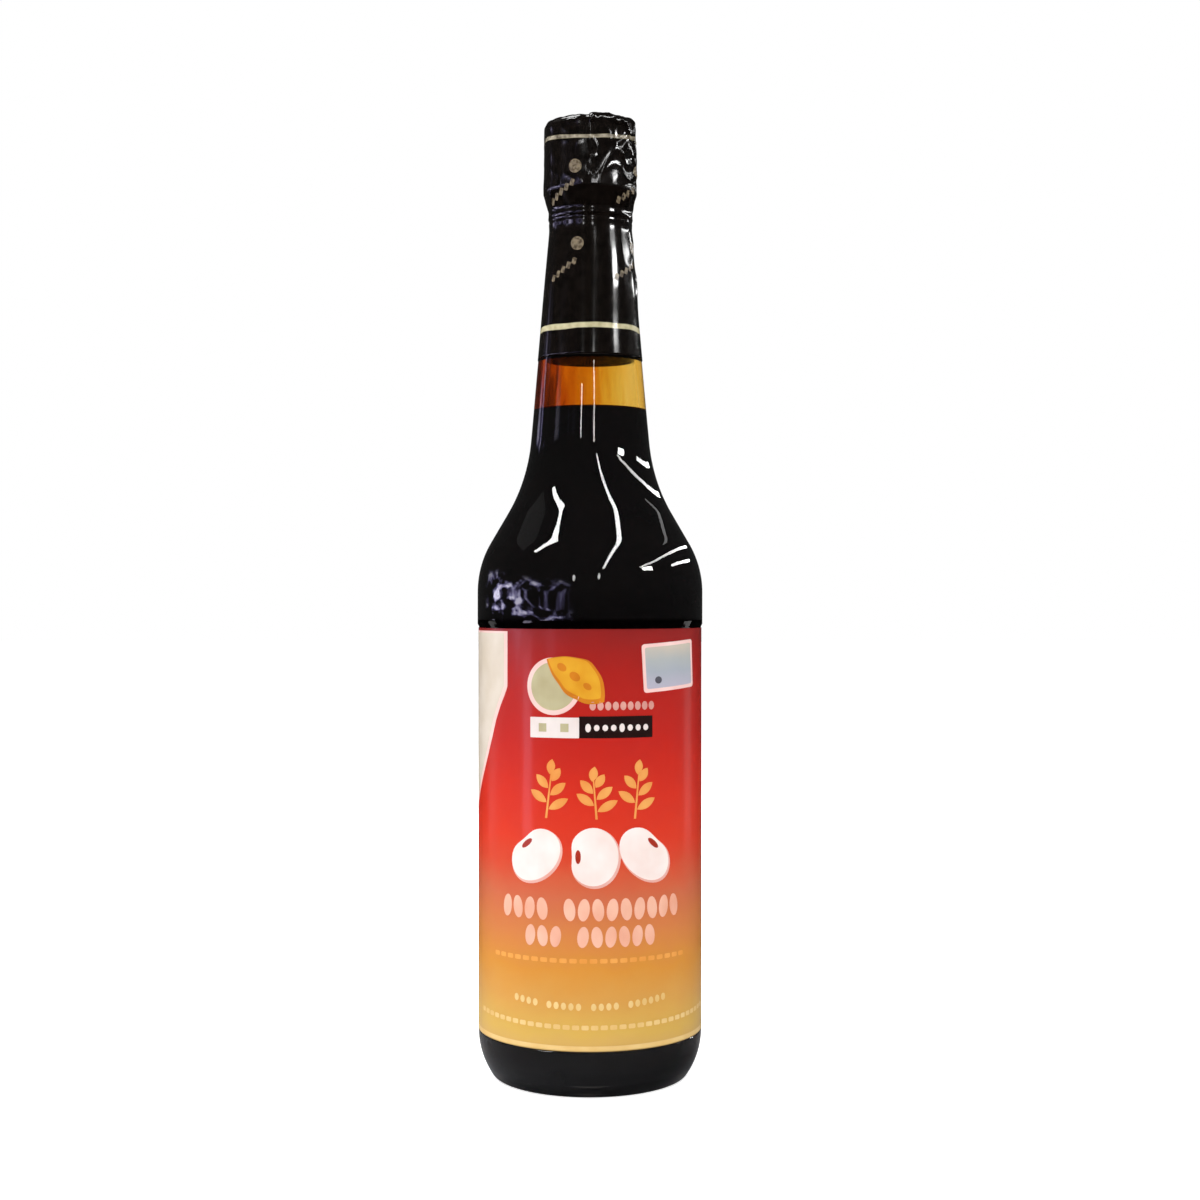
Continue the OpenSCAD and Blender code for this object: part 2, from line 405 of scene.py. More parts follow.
def film_lift(angle, radius, height):
    """How far the shrunk film stands off what it covers."""
    x, y = math.sin(angle), math.cos(angle)
    spot = Vector((radius * x, radius * y, height))
    on_cap = smooth(height, cap_low.z - 1, cap_widest + 1)
    # Creases run up and down the cap, and are deepest on its right
    degrees = math.degrees(angle)
    right = math.exp(-((degrees - 62) / 42) ** 2)
    stretched = Vector((radius * x, radius * y, height * 0.42))
    folds = crease(stretched / 9, 3) * (0.2 + 0.75 * right)
    folds += crease(spot / 5.5 + Vector((7, 3, 1)), 3) * (0.08 + 0.36 * right)
    folds += crease(spot / 3.1 + Vector((1, 5, 8)), 2) * 0.2 * math.exp(-((degrees - 72) / 26) ** 2)
    # The gathered top edge rises in uneven pleats
    gather = smooth(height, cap_high.z - 3.5, cap_high.z)
    pleats = 0.5 + 0.5 * math.sin(angle * 19 + 2.5 * noise.noise(Vector((3 * x, 3 * y, 5))))
    bumps = 0.35 * math.exp(-((degrees - 4) / 14) ** 2)
    bumps += 0.3 * math.exp(-((degrees - 38) / 12) ** 2)
    puckered = gather * (0.3 * pleats * max(0, noise.noise(spot / 7) + 0.5) + bumps)
    # On the neck it bridges the step under the bead, and is slack low on the right
    bridge = 0.3 * math.exp(-((height - neck_top + 0.6) / 1.6) ** 2)
    slack = 0.3 * right * smooth(height, film_low.z + 10, film_low.z + 24)
    slack *= 1 - smooth(height, neck_top - 12, neck_top)
    hug = 0.05 + 0.07 * noise.noise(Vector((radius * x, radius * y, height * 0.3)) / 6)
    far_right = math.exp(-((degrees - 84) / 28) ** 2)
    rumpled = 0.4 * far_right * crease(stretched / 6 + Vector((2, 9, 4)), 2)
    rumpled *= smooth(height, film_low.z + 16, film_low.z + 22)
    return max(0.0, hug + slack + bridge) + rumpled * (1 - on_cap) + on_cap * folds + puckered


capsule = lathe(
    "film_sleeve", film_line, 300,
    lambda angle, i, radius, height: film_lift(angle, radius, height),
)
shell = capsule.modifiers.new("film", "SOLIDIFY")
shell.thickness = 0.12 * MM
shell.offset = -1

# PVC film, reverse printed in black with two gold bands
low_band_z = film_low.z + 9.1
high_band_z = film_high.z - 7.2
shrunk_film = blank("shrunk_black_pvc_film")
place = add(shrunk_film, "TexCoord").outputs["Object"]
height = add(shrunk_film, "SeparateXYZ", {0: place}).outputs["Z"]
drift = add(shrunk_film, "TexNoise", {"Vector": place, "Scale": 1 / (9 * MM), "Detail": 1.0}).outputs[0]
drift = add(shrunk_film, "MapRange", {"Value": drift, "To Min": -0.7 * MM, "To Max": 0.7 * MM}).outputs[0]
printed_at = add(shrunk_film, "Math", {0: height, 1: drift}, operation="ADD").outputs[0]
# The upper band has been drawn up at the sides by the shrinking
across = add(shrunk_film, "SeparateXYZ", {0: place}).outputs["X"]
drawn_up = add(shrunk_film, "Math", {0: across, 1: across}, operation="MULTIPLY").outputs[0]
side_rise = 1.2 * MM / (cap_r * MM) ** 2
drawn_up = add(shrunk_film, "Math", {0: drawn_up, 1: side_rise}, operation="MULTIPLY").outputs[0]
drawn_at = add(shrunk_film, "Math", {0: printed_at, 1: drawn_up}, operation="SUBTRACT").outputs[0]
band_shares = []
for at, band_z, fringe, half in (
    (printed_at, low_band_z, 0.98, 0.75),
    (drawn_at, high_band_z, 0.66, 0.42),
):
    off = add(shrunk_film, "Math", {0: at, 1: band_z * MM}, operation="SUBTRACT").outputs[0]
    off = add(shrunk_film, "Math", {0: off}, operation="ABSOLUTE").outputs[0]
    soft_edge = {"Value": off, "From Min": fringe * MM, "From Max": half * MM}
    band_shares.append(add(shrunk_film, "MapRange", soft_edge).outputs[0])
low_band, high_band = band_shares
bands = add(shrunk_film, "Math", {0: low_band, 1: high_band}, operation="MAXIMUM").outputs[0]
grain = add(shrunk_film, "TexNoise", {"Vector": place, "Scale": 1 / (2.2 * MM), "Detail": 3.0}).outputs[0]
black, gold, worn = (
    add(shrunk_film, "ValToRGB", {"Fac": grain}, stops=stops).outputs[0]
    for stops in (
        [(0.3, "#060403"), (0.75, "#130E0B")],
        [(0.3, "#B4AC86"), (0.7, "#D8D0AA")],
        [(0.35, "#5E564A"), (0.65, "#B4AA96")],
    )
)
gold = add(shrunk_film, "Mix", {"Factor": high_band, 6: gold, 7: worn}, data_type="RGBA").outputs[2]
print_colour = add(shrunk_film, "Mix", {"Factor": bands, 6: black, 7: gold}, data_type="RGBA").outputs[2]
gloss = add(shrunk_film, "MapRange", {"Value": grain, "To Min": 0.06, "To Max": 0.16}).outputs[0]
relief = add(shrunk_film, "Bump", {"Height": grain, "Strength": 0.15, "Distance": 0.05 * MM}).outputs[0]
film = add(
    shrunk_film, "BsdfPrincipled",
    {"Base Color": print_colour, "Roughness": gloss, "IOR": 1.53, "Normal": relief},
)
add(shrunk_film, "OutputMaterial", {"Surface": film.outputs[0]})
capsule.data.materials.append(shrunk_film)
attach(capsule, "root")
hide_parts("capsule")

# ------------------------------------------------------------------ Gold marks on the film
# The film's plain ornament, in the same gold ink: round dots, each over a slanting row
# of short dashes, repeated round the neck and round the cap.


def slanted(outline, cx, cz, tilt):
    """The outline turned about a point."""
    c, s = math.cos(math.radians(tilt)), math.sin(math.radians(tilt))
    return [(cx + (x - cx) * c - (z - cz) * s, cz + (x - cx) * s + (z - cz) * c) for x, z in outline]


def oval(cx, cz, width, height, tilt=0, steps=24):
    """Outline of an oval on flat paper."""
    angles = [math.tau * i / steps for i in range(steps)]
    points = [(cx + width / 2 * math.cos(a), cz + height / 2 * math.sin(a)) for a in angles]
    return slanted(points, cx, cz, tilt)


def bar(x0, x1, z0, z1, corner=0.3):
    """Outline of an upright bar with round corners."""
    left, right = x0 + corner, x1 - corner
    low, high = z0 + corner, z1 - corner
    points = []
    for centre, start in (((right, low), -90), ((right, high), 0), ((left, high), 90), ((left, low), 180)):
        points += turn(centre, corner, start, start + 90, 4)
    return points


def film_point(x, z, lift):
    """A place on the film, x millimetres round to the right of the front."""
    radius = next(
        r0 + (r1 - r0) * (z - z0) / (z1 - z0)
        for (r0, z0), (r1, z1) in zip(film_side, film_side[1:]) if z0 <= z <= z1
    )
    angle = x / radius
    radius += film_lift(angle % math.tau, radius, z) + lift
    return Vector((radius * math.sin(angle), -radius * math.cos(angle), z)) * MM


def ink(name, outlines, surface, material, thickness=0.035, step=2.0, rows=None):
    """A thin closed layer with these outlines on flat paper, laid on a round surface.

    Outlines inside other outlines are holes. step is the widest flat facet left.
    """
    curve = bpy.data.curves.new(name, "CURVE")
    curve.dimensions = "2D"
    curve.fill_mode = "BOTH"
    for outline in outlines:
        spline = curve.splines.new("POLY")
        spline.points.add(len(outline) - 1)
        for point, (x, z) in zip(spline.points, outline):
            point.co = (x, z, 0, 1)
        spline.use_cyclic_u = True
    flat = bpy.data.objects.new(name + "_flat", curve)
    bm = bmesh.new()
    bm.from_mesh(bpy.data.meshes.new_from_object(flat))
    bpy.data.objects.remove(flat)
    xs = [v.co.x for v in bm.verts]
    zs = [v.co.y for v in bm.verts]
    cuts = [((x, 0, 0), (1, 0, 0)) for x in spaced(min(xs), max(xs), step)]
    if rows:
        cuts += [((0, z, 0), (0, 1, 0)) for z in spaced(min(zs), max(zs), rows)]
    for place, direction in cuts:
        everything = bm.verts[:] + bm.edges[:] + bm.faces[:]
        bmesh.ops.bisect_plane(bm, geom=everything, plane_co=place, plane_no=direction)
    top = bmesh.ops.extrude_face_region(bm, geom=bm.faces[:])["geom"]
    raised = {v for v in top if isinstance(v, bmesh.types.BMVert)}
    for v in bm.verts:
        v.co = surface(v.co.x, v.co.y, thickness if v in raised else -thickness / 2)
    bmesh.ops.recalc_face_normals(bm, faces=bm.faces[:])
    mesh = bpy.data.meshes.new(name)
    bm.to_mesh(mesh)
    bm.free()
    piece = bpy.data.objects.new(name, mesh)
    bpy.context.scene.collection.objects.link(piece)
    piece.data.materials.append(material)
    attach(piece, "root")
    return piece


def spaced(low, high, step):
    """Places between low and high on a regular grid."""
    return [i * step for i in range(math.ceil(low / step), math.floor(high / step) + 1)]


gold_ink = blank("gold_printing_ink")
place = add(gold_ink, "TexCoord").outputs["Object"]
grain = add(gold_ink, "TexNoise", {"Vector": place, "Scale": 1 / (1.2 * MM), "Detail": 2.0}).outputs[0]
colour = add(gold_ink, "ValToRGB", {"Fac": grain}, stops=[(0.35, "#4C4236"), (0.65, "#85775F")]).outputs[0]
gloss = add(gold_ink, "MapRange", {"Value": grain, "To Min": 0.2, "To Max": 0.35}).outputs[0]
shiny = add(gold_ink, "BsdfPrincipled", {"Base Color": colour, "Roughness": gloss}).outputs[0]
add(gold_ink, "OutputMaterial", {"Surface": shiny})

mark_rows = (
    (neck_top - 9, neck_top - 17, 13.9),
    (film_high.z - 16.5, film_high.z - 24, 14.9),
)
marks = []
for quarter in range(4):
    for dot_z, dash_z, radius in mark_rows:
        middle = (-0.62 + quarter * math.tau / 4) * radius
        marks.append(oval(middle + 4.6, dot_z, 4.2, 4.4))
        for i in range(5):
            x = middle - 4.4 + i * 2.0
            z = dash_z - 2.4 + i * 1.2
            marks.append(slanted(bar(x - 0.7, x + 0.7, z - 1.1, z + 1.1, 0.35), x, z, -18))
ink("film_marks", marks, film_point, gold_ink, 0.04, 0.8, 0.8)

# ------------------------------------------------------------------ Paper label
# Coated paper, glued once round the bottle with its ends lapped at the back, and
# printed in a colour that fades from deep red at the top to golden yellow below.
paper_t = 0.15
paper_r = panel_r + paper_t
paper_bottom = label_low.z
paper_top = label_high.z
half_girth = math.pi * paper_r
lap = 6.0


def paper_point(x, z, lift):
    """A place on the label, x millimetres round to the right of the front."""
    angle = x / paper_r
    spot = Vector((math.sin(angle) * paper_r, math.cos(angle) * paper_r, z)) / 17
    radius = paper_r + 0.035 * noise.noise(spot) + lift
    return Vector((radius * math.sin(angle), -radius * math.cos(angle), z)) * MM


def coated_paper(name, colour_of):
    """Coated paper or ink on it: faint fibres, and a soft gloss from the clay coat."""
    material = blank(name)
    place = add(material, "TexCoord").outputs["Object"]
    fibres = add(material, "TexNoise", {"Vector": place, "Scale": 1 / (0.7 * MM), "Detail": 3.0}).outputs[0]
    mottle = add(material, "TexNoise", {"Vector": place, "Scale": 1 / (9 * MM), "Detail": 2.0}).outputs[0]
    colour = colour_of(material, place, mottle)
    gloss = add(material, "MapRange", {"Value": mottle, "To Min": 0.32, "To Max": 0.46}).outputs[0]
    relief = add(material, "Bump", {"Height": fibres, "Strength": 0.2, "Distance": 0.03 * MM}).outputs[0]
    sheet = add(
        material, "BsdfPrincipled",
        {
            "Base Color": colour, "Roughness": gloss, "Specular IOR Level": 0.2, "Normal": relief,
            "Coat Weight": 0.35, "Coat Roughness": 0.14,
        },
    )
    add(material, "OutputMaterial", {"Surface": sheet.outputs[0]})
    return material


def fade(material, place, mottle):
    """Deep red to golden yellow down the label, a little mottled."""
    height = add(material, "SeparateXYZ", {0: place}).outputs["Z"]
    up = add(
        material, "MapRange",
        {"Value": height, "From Min": paper_bottom * MM, "From Max": paper_top * MM},
    ).outputs[0]
    stray = add(material, "MapRange", {"Value": mottle, "To Min": -0.02, "To Max": 0.02}).outputs[0]
    up = add(material, "Math", {0: up, 1: stray}, operation="ADD").outputs[0]
    return add(material, "ValToRGB", {"Fac": up}, stops=[
        (0.0, "#D8AC60"), (0.04, "#DCB254"), (0.12, "#DCA04A"), (0.19, "#DD9436"),
        (0.28, "#D98244"), (0.36, "#D46C46"), (0.45, "#DC4426"), (0.5, "#E0361A"),
        (0.6, "#D82A14"), (0.73, "#C41E12"), (0.9, "#AE1A12"), (1.0, "#901C1A"),
    ]).outputs[0]


def plain(light, dark):
    """One ink, a little mottled between two near shades."""
    return lambda material, place, mottle: add(
        material, "ValToRGB", {"Fac": mottle}, stops=[(0.3, dark), (0.7, light)]
    ).outputs[0]


faded_paper = coated_paper("coated_paper_red_to_gold", fade)
columns = 240
last = 42
bm = bmesh.new()
back, front = {}, {}
for i in range(columns):
    x = -half_girth + 2 * half_girth * i / columns
    for j in range(last + 1):
        z = paper_bottom + (paper_top - paper_bottom) * j / last
        back[i, j] = bm.verts.new(paper_point(x, z, -paper_t))
        front[i, j] = bm.verts.new(paper_point(x, z, 0.0))
for i in range(columns):
    k = (i + 1) % columns
    for j in range(last):
        bm.faces.new((front[i, j], front[k, j], front[k, j + 1], front[i, j + 1]))
        bm.faces.new((back[i, j], back[i, j + 1], back[k, j + 1], back[k, j]))
    bm.faces.new((back[i, 0], back[k, 0], front[k, 0], front[i, 0]))
    bm.faces.new((front[i, last], front[k, last], back[k, last], back[i, last]))
mesh = bpy.data.meshes.new("label_sheet")
bm.to_mesh(mesh)
bm.free()
mesh.shade_smooth()
mesh.set_sharp_from_angle(angle=math.radians(35))
label = bpy.data.objects.new("label_sheet", mesh)
bpy.context.scene.collection.objects.link(label)
label.data.materials.append(faded_paper)
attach(label, "root")
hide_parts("label")

lapped_end = [bar(half_girth - lap, half_girth + lap, paper_bottom, paper_top, 0.05)]
ink(
    "label_lap", lapped_end, lambda x, z, lift: paper_point(x, z, lift + 0.1),
    faded_paper, 0.05,
)


def printed(name, outlines, material, thickness=0.04, step=2.0, rows=None):
    """A layer of ink printed on the label. Layers over others are thicker."""
    ink(name, outlines, paper_point, material, thickness, step, rows)


# ------------------------------------------------------------------ Side panel print
# A cream field with a pale pink edge, printed on the label. It sweeps from the front's
# left edge round to the back, and carries plain rows of brown bars.
cream = coated_paper("cream_ink", plain("#E2D6C6", "#D6C8B4"))
pale_pink = coated_paper("pale_pink_ink", plain("#FBD8D0", "#F4C6BE"))
brown = coated_paper("brown_ink", plain("#8A6A58", "#745646"))
panel_high = paper_top - 0.8


def sweep(shift):
    """The panel's edge from top to bottom, moved to the left by shift."""
    top = [(-28 - shift, panel_high - shift * 0.4), (-28 - shift, 125)]
    curve = [
        (-28.4, 124), (-29.6, 121.8), (-31.3, 119), (-33.6, 114.6), (-36, 109), (-38.6, 103.8),
        (-41.8, 98.4), (-46, 92.6), (-51, 86.6), (-58, 79), (-66, 71), (-75, 63),
    ]
    return top + [(x - shift, z + shift * 0.3) for x, z in curve]


back_edge = -half_girth + lap + 1
panel = sweep(0) + [(-84, 55), (back_edge, 55), (back_edge, panel_high)]
field_edge = back_edge + 1.5
field = sweep(1.5) + [(-84.6, 56.5), (field_edge, 56.5), (field_edge, panel_high - 0.6)]
printed("panel_edge", [panel], pale_pink, 0.03, 1.5, 3)
printed("panel_field", [field], cream, 0.05, 1.5, 3)
widths = (14, 9, 17, 11, 7, 13)
rows = []
for i in range(13):
    z = 130 - i * 5.2
    right = -62 if z > 84 else -80
    x = back_edge + 6
    k = i
    while x + widths[k % 6] <= right:
        end = x + widths[k % 6]
        rows.append(bar(x, end, z, z + 1.5, 0.5))
        x = end + 1.6
        k += 1
printed("panel_rows", rows, brown, 0.08, 1.5)

# ------------------------------------------------------------------ Badge
# A plain badge printed near the top: a pale ring round an olive field, with a golden
# bean pod lying over its right side, and small plates below.
golden = coated_paper("golden_ink", plain("#EBAE2C", "#DC9012"))
olive = coated_paper("olive_ink", plain("#CCC49C", "#B8AC84"))
white = coated_paper("white_ink", plain("#F6EDE8", "#EBDDD8"))
black_ink = coated_paper("black_ink", plain("#2A1210", "#200C0A"))
rose = coated_paper("rose_ink", plain("#E3A79A", "#D08E84"))
ochre = coated_paper("deep_orange_ink", plain("#DE8618", "#C87010"))

ring = [oval(-11.2, 125.4, size, size, 0, 56) for size in (17.4, 14.6)]
printed("badge_ring", ring, pale_pink)
printed("badge_field", [oval(-11.2, 125.4, 14.8, 14.8, 0, 56)], olive, 0.03)


def pod(cx, cz, length, width, tilt, beans=3):
    """Outline of a bean pod: a pointed shape that swells at each bean."""
    points = []
    for edge in (1, -1):
        for i in range(25):
            t = i / 24 if edge == 1 else 1 - i / 24
            swell = math.sin(math.pi * t ** 1.15) ** 0.75
            swell *= 0.97 + 0.03 * math.cos(math.tau * (beans * t - 0.5))
            arch = 1.2 * math.sin(math.pi * t)
            points.append((cx + (t - 0.5) * length, cz + edge * swell * width / 2 + arch))
    return slanted(points, cx, cz, tilt)


pod_tilt = -36
pod_seeds = ((-8.4, 131.2, 3.2, 2.2), (-4.4, 128.4, 3.6, 2.5), (-0.6, 125.4, 2.8, 1.9))
printed("badge_pod_shade", [pod(-4.4, 127.2, 22, 12.4, pod_tilt)], ochre, 0.05)
printed("badge_pod", [pod(-4.7, 127.8, 20, 10.6, pod_tilt)], golden, 0.065)
printed("badge_pod_seeds", [oval(*seed, pod_tilt) for seed in pod_seeds], ochre, 0.075)
printed("plate_white", [bar(-18.8, -3.1, 109.8, 116.0, 0.2)], white)
printed("plate_marks", [oval(x, 112.9, 3.6, 3.6, 45, 4) for x in (-14.6, -7.6)], olive, 0.055)
printed("plate_black", [bar(-3.1, 20.2, 109.8, 116.4, 0.2)], black_ink)
dots = [oval(-0.4 + i * 2.6, 112.9, 1.7, 2.6 if i in (0, 4) else 1.9) for i in range(8)]
printed("plate_dots", dots, white, 0.055)
printed("plate_beads", [oval(1.0 + i * 2.35, 119.5, 1.9, 2.6) for i in range(9)], rose)

# ------------------------------------------------------------------ Sprigs
# Three small leafy sprigs in golden orange, brushed in a row.
amber_ink = coated_paper("golden_orange_ink", plain("#F6AE5C", "#EC9444"))


def leaf(x, z, length, width, tilt):
    """Outline of a pointed leaf that starts at a place."""
    points = []
    for edge in (1, -1):
        for i in range(9):
            t = i / 8 if edge == 1 else 1 - i / 8
            points.append((x + t * length, z + edge * width / 2 * math.sin(math.pi * t) ** 0.8))
    return slanted(points, x, z, tilt)


def sprig_leaves(cx, cz, height, lean):
    """Outlines of leaves on both sides of a stem, each steeper than the one below it."""
    sides = ((1, 28, 7.0), (-1, 34, 6.4), (1, 38, 6.2), (-1, 46, 5.6), (1, 56, 4.8), (-1, 100, 4.6))
    outlines = []
    for i, (out, up, length) in enumerate(sides):
        z = cz - height / 2 + height * (0.16 + 0.125 * i)
        x = cx + lean * (z - cz)
        angle = up if out > 0 else 180 - up
        outlines.append(leaf(x + out * 0.45, z, length, 2.7, angle))
    return outlines


def sprig_stem(cx, cz, height, lean):
    """Outline of a leaning stem that narrows upwards."""
    foot, foot_z = cx - lean * height / 2, cz - height / 2
    tip, tip_z = cx + lean * height * 0.36, cz + height * 0.36
    return [(foot - 0.35, foot_z), (foot + 0.35, foot_z), (tip + 0.2, tip_z), (tip - 0.2, tip_z)]


sprigs = ((-12.4, 94, 17, 0.12), (1.6, 92.6, 14.5, -0.08), (15.0, 93.8, 17, 0.1))
printed("sprig_leaves", [outline for sprig in sprigs for outline in sprig_leaves(*sprig)], amber_ink, 0.05)
printed("sprig_stems", [sprig_stem(*sprig) for sprig in sprigs], amber_ink, 0.035)

# ------------------------------------------------------------------ Beans and rows
# Three large white soya beans across the middle, and rows of small plain marks that
# stand where a label would have its words.
warm_white = coated_paper("warm_white_ink", plain("#FFF4EF", "#FBE6DF"))
blush = coated_paper("blush_ink", plain("#F2BEB2", "#EAA898"))
salmon = coated_paper("salmon_ink", plain("#FAC4AA", "#F0AC90"))
straw = coated_paper("straw_ink", plain("#F2D28E", "#E8C074"))
orange_line = coated_paper("light_orange_ink", plain("#F4AC52", "#EA9C42"))
deep_red = coated_paper("deep_red_ink", plain("#B83018", "#A02410"))


def bean(cx, cz, length, width, tilt):
    """Outline of a soya bean: an oval with a slight hollow on one side."""
    points = []
    for i in range(40):
        a = math.tau * i / 40
        dent = 0.16 * math.exp(-((math.degrees(a) - 90) / 26) ** 2)
        points.append((cx + length / 2 * math.cos(a), cz + width / 2 * math.sin(a) * (1 - dent)))
    return slanted(points, cx, cz, tilt)


big_beans = ((-17.4, 74.2, 18.6, 14.2, 38), (1.2, 74.0, 17.6, 15.4, 90), (17.8, 74.4, 19.4, 13.8, -40))
shades, eyes = [], []
for cx, cz, length, width, tilt in big_beans:
    shades.append(bean(cx + 0.4, cz - 0.5, length + 0.6, width + 0.6, tilt))
    eye_x = cx + width * 0.3 * math.cos(math.radians(tilt + 90))
    eye_z = cz + width * 0.3 * math.sin(math.radians(tilt + 90))
    eyes.append(oval(eye_x, eye_z, length * 0.24, 1.7, tilt))
printed("beans_shade", shades, blush, 0.035)
printed("beans", [bean(*b) for b in big_beans], warm_white, 0.05)
printed("bean_eyes", eyes, deep_red, 0.065)


def seed_row(left, right, low, high, count, gaps):
    """Outlines of upright seeds in a row, with some left out as gaps."""
    pitch = (right - left) / count
    return [
        oval(left + pitch * (i + 0.5), (low + high) / 2, pitch * 0.82, (high - low), 6 if i % 2 else -6)
        for i in range(count) if i not in gaps
    ]


printed("row_upper", seed_row(-30, 31, 54.6, 61.4, 14, (4,)), salmon)
printed("row_lower", seed_row(-21, 21.4, 46.6, 53.0, 10, (3,)), salmon)
dashes = [bar(-34 + i * 3.1, -34 + i * 3.1 + 2.3, 41.9, 43.3, 0.4) for i in range(22)]
printed("row_dashes", dashes, orange_line)


def bowed(x, depth):
    """Rise of a row towards its ends, as it is printed on a shallow arc."""
    return depth * (x / 26) ** 2


seeds = [-24 + i * 2.3 for i in range(22) if i not in (4, 10, 15)]
printed("row_small", [oval(x, 28.7 + bowed(x, 1.9), 1.6, 2.2) for x in seeds], straw)
strokes = []
for i in range(32):
    x = -43 + i * 2.9
    rise = bowed(x, 0.4)
    strokes.append(bar(x, x + 2.2, 21.8 + rise, 23.2 + rise, 0.4))
printed("row_tiny", strokes, straw)
printed("foot_line", [bar(-half_girth + lap, half_girth - lap, 15.6, 16.9, 0.1)], straw, 0.03)

# ------------------------------------------------------------------ Sticker
# A small coated sticker with rounded corners, stuck on by hand a little askew: a pink
# edge round a field that shades from beige through grey to lavender.
sticker_low, sticker_high = (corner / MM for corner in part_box("sticker"))
sticker_x = math.radians(45) * paper_r
sticker_z = (sticker_low.z + sticker_high.z) / 2
sticker_w = 22.6
sticker_h = 14.8
sticker_tilt = 3.5


def sticker_plate(edge, corner):
    """The sticker's outline, drawn in by edge on every side."""
    w, h = sticker_w / 2 - edge, sticker_h / 2 - edge
    upright = bar(sticker_x - w, sticker_x + w, sticker_z - h, sticker_z + h, corner)
    return slanted(upright, sticker_x, sticker_z, sticker_tilt)


def shaded(material, place, mottle):
    """Beige at the top, blue-grey in the middle and lavender below."""
    height = add(material, "SeparateXYZ", {0: place}).outputs["Z"]
    up = add(
        material, "MapRange",
        {"Value": height, "From Min": sticker_low.z * MM, "From Max": sticker_high.z * MM},
    ).outputs[0]
    stray = add(material, "MapRange", {"Value": mottle, "To Min": -0.1, "To Max": 0.1}).outputs[0]
    up = add(material, "Math", {0: up, 1: stray}, operation="ADD").outputs[0]
    return add(material, "ValToRGB", {"Fac": up}, stops=[
        (0.1, "#BCB8C8"), (0.4, "#ACB2BC"), (0.62, "#B4B8B8"), (0.85, "#CCC2B4"),
    ]).outputs[0]


sticker_edge = coated_paper("pink_sticker_edge", plain("#FFDCD6", "#F8CEC8"))
sticker_field = coated_paper("shaded_sticker_field", shaded)
slate = coated_paper("slate_ink", plain("#62606A", "#504E58"))
dot = oval(sticker_x - 5.6, sticker_z - 4.2, 2.6, 2.2)
for name, outline, stands, material, thickness in (
    ("sticker_base", sticker_plate(0, 1.0), 0.05, sticker_edge, 0.05),
    ("sticker_face", sticker_plate(1.1, 0.6), 0.08, sticker_field, 0.04),
    ("sticker_dot", dot, 0.1, slate, 0.035),
):
    ink(
        name, [outline], lambda x, z, lift: paper_point(x, z, lift + stands),
        material, thickness, 1.0,
    )
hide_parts("sticker")

# ------------------------------------------------------------------ Studio
# A pale floor and backdrop, thin lamps overhead and beside the camera that draw the
# reflections on the glass, and the camera at the height of the bottle's middle.
tall = film_high.z * MM

floor_mesh = bpy.data.meshes.new("floor")
reach = 6
corners = [(-reach, -reach, 0), (reach, -reach, 0), (reach, reach, 0), (-reach, reach, 0)]
floor_mesh.from_pydata(corners, [], [(0, 1, 2, 3)])
floor = bpy.data.objects.new("floor", floor_mesh)
bpy.context.scene.collection.objects.link(floor)
floor.location.z = -0.05 * MM
pale_floor = blank("pale_studio_floor")
rays = add(pale_floor, "LightPath")
grain = add(pale_floor, "TexNoise", {"Scale": 40.0}).outputs[0]
shade = add(pale_floor, "ValToRGB", {"Fac": grain}, stops=[(0.3, "#F8F8F8"), (0.7, "#FCFCFC")]).outputs[0]
bright = add(pale_floor, "BsdfDiffuse", {"Color": shade}).outputs[0]
glow = add(pale_floor, "Math", {0: rays.outputs["Is Camera Ray"], 1: 0.75}, operation="MULTIPLY").outputs[0]
glow = add(pale_floor, "Emission", {"Color": "#FFFFFF", "Strength": glow}).outputs[0]
bright = add(pale_floor, "AddShader", {0: bright, 1: glow}).outputs[0]
# Painted shade in what the glass shows of the floor: reflections see it grey close to the bottle and near
# black further off, and seen through the glass it is near black, a painted shadow under the bottle
spot = add(pale_floor, "TexCoord").outputs["Object"]
away = add(pale_floor, "VectorMath", {0: spot}, operation="LENGTH").outputs["Value"]
near = add(pale_floor, "ValToRGB", {"Fac": away}, stops=[(0.1, "#8C8C90"), (0.24, "#101010")]).outputs[0]
dim = add(pale_floor, "BsdfDiffuse", {"Color": near}).outputs[0]
dark = add(pale_floor, "BsdfDiffuse", {"Color": "#101010"}).outputs[0]
seen = add(pale_floor, "MixShader", {0: rays.outputs["Is Glossy Ray"], 1: bright, 2: dim}).outputs[0]
seen = add(pale_floor, "MixShader", {0: rays.outputs["Is Transmission Ray"], 1: seen, 2: dark}).outputs[0]
add(pale_floor, "OutputMaterial", {"Surface": seen})
floor_mesh.materials.append(pale_floor)

world = bpy.data.worlds.new("studio")
world.use_nodes = True
world.node_tree.nodes.clear()
bpy.context.scene.world = world
rays = add(world, "LightPath")
straight = {0: rays.outputs["Is Camera Ray"], 1: rays.outputs["Is Transmission Ray"]}
direct = add(world, "Math", straight, operation="MAXIMUM").outputs[0]
backdrop = add(world, "Background", {"Color": "#FFFFFF", "Strength": 1.0}).outputs[0]

# Soft light that is stronger from both sides than from the front
towards = add(world, "SeparateXYZ", {0: add(world, "TexCoord").outputs["Generated"]})
sideways = add(world, "Math", {0: towards.outputs["X"]}, operation="ABSOLUTE").outputs[0]
fill = add(world, "MapRange", {"Value": sideways, "To Min": 0.05, "To Max": 0.78}).outputs[0]
leftward = add(world, "Math", {0: towards.outputs["X"], 1: -0.3}, operation="MULTIPLY").outputs[0]
fill = add(world, "Math", {0: fill, 1: leftward}, operation="ADD", use_clamp=True).outputs[0]
soft_fill = add(world, "Background", {"Color": "#FFFFFF", "Strength": fill}).outputs[0]

